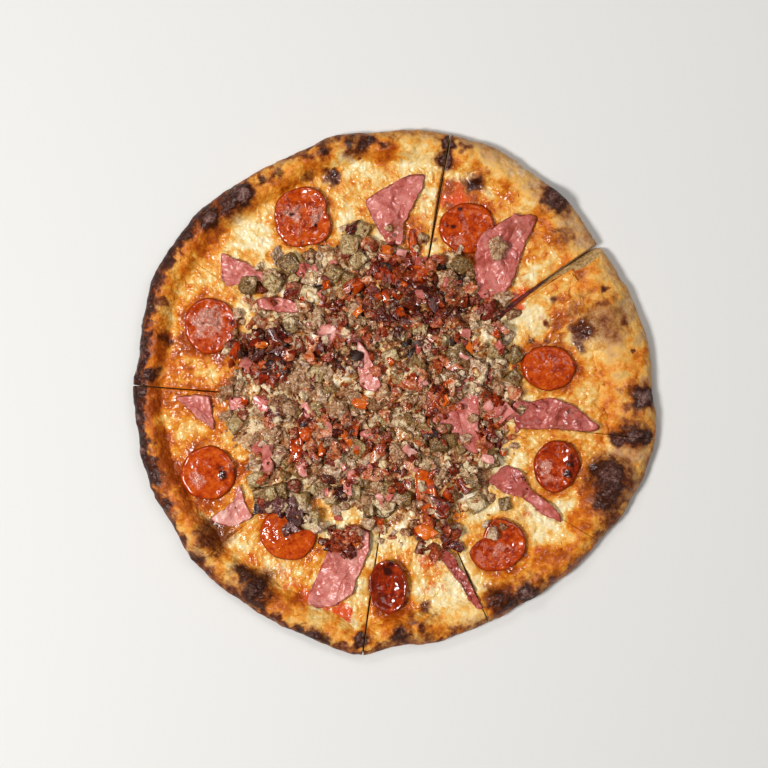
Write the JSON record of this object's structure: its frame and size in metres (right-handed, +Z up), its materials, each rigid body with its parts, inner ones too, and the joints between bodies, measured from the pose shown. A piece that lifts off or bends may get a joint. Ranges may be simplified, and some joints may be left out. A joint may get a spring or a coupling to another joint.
{
  "type": "meat lovers pizza",
  "caption": "Round baked pizza cut into slices that keep its shape: thick bubbled crust, melted cheese, pepperoni, torn ham and a heap of diced sausage and bacon",
  "frame": {"origin": "on the surface the pizza rests on, under the middle of its footprint", "axes": "+Z up out of the toppings; +Y towards the top of the picture, +X to its right"},
  "size_m": [0.4076, 0.41, 0.0238],
  "materials": {
    "dough": "baked golden-tan crust, charred on its bubbles, pale and floury underneath",
    "sauce": "thin cooked tomato sauce, moist",
    "cheese": "melted pale cheese with oily sheen, browned near the crust",
    "pepperoni": "oily red-orange slices with darker rims",
    "ham": "moist pink cooked ham, darker at its edges",
    "meat_heap": "olive-brown diced sausage, pale crumbled sausage and dark red-brown bacon"
  },
  "bodies": {
    "root": {"dough_01": "dough", "dough_02": "dough", "dough_03": "dough", "dough_04": "dough", "dough_05": "dough", "dough_06": "dough", "dough_07": "dough", "dough_08": "dough", "dough_09": "dough", "dough_10": "dough", "sauce_01": "sauce", "sauce_02": "sauce", "sauce_03": "sauce", "sauce_04": "sauce", "sauce_05": "sauce", "sauce_06": "sauce", "sauce_07": "sauce", "sauce_08": "sauce", "sauce_09": "sauce", "sauce_10": "sauce", "cheese_01": "cheese", "cheese_02": "cheese", "cheese_03": "cheese", "cheese_04": "cheese", "cheese_05": "cheese", "cheese_06": "cheese", "cheese_07": "cheese", "cheese_08": "cheese", "cheese_09": "cheese", "cheese_10": "cheese", "pepperoni_01": "pepperoni", "pepperoni_02": "pepperoni", "pepperoni_03": "pepperoni", "pepperoni_04": "pepperoni", "pepperoni_05": "pepperoni", "pepperoni_06": "pepperoni", "pepperoni_07": "pepperoni", "pepperoni_08": "pepperoni", "pepperoni_09": "pepperoni", "pepperoni_10": "pepperoni", "pepperoni_11": "pepperoni", "pepperoni_12": "pepperoni", "pepperoni_13": "pepperoni", "ham_01": "ham", "ham_02": "ham", "ham_03": "ham", "ham_04": "ham", "ham_05": "ham", "ham_06": "ham", "ham_07": "ham", "ham_08": "ham", "ham_09": "ham", "ham_10": "ham", "ham_11": "ham", "ham_12": "ham", "ham_13": "ham", "ham_14": "ham", "meat_heap": "meat_heap"}
  },
  "joints": []
}
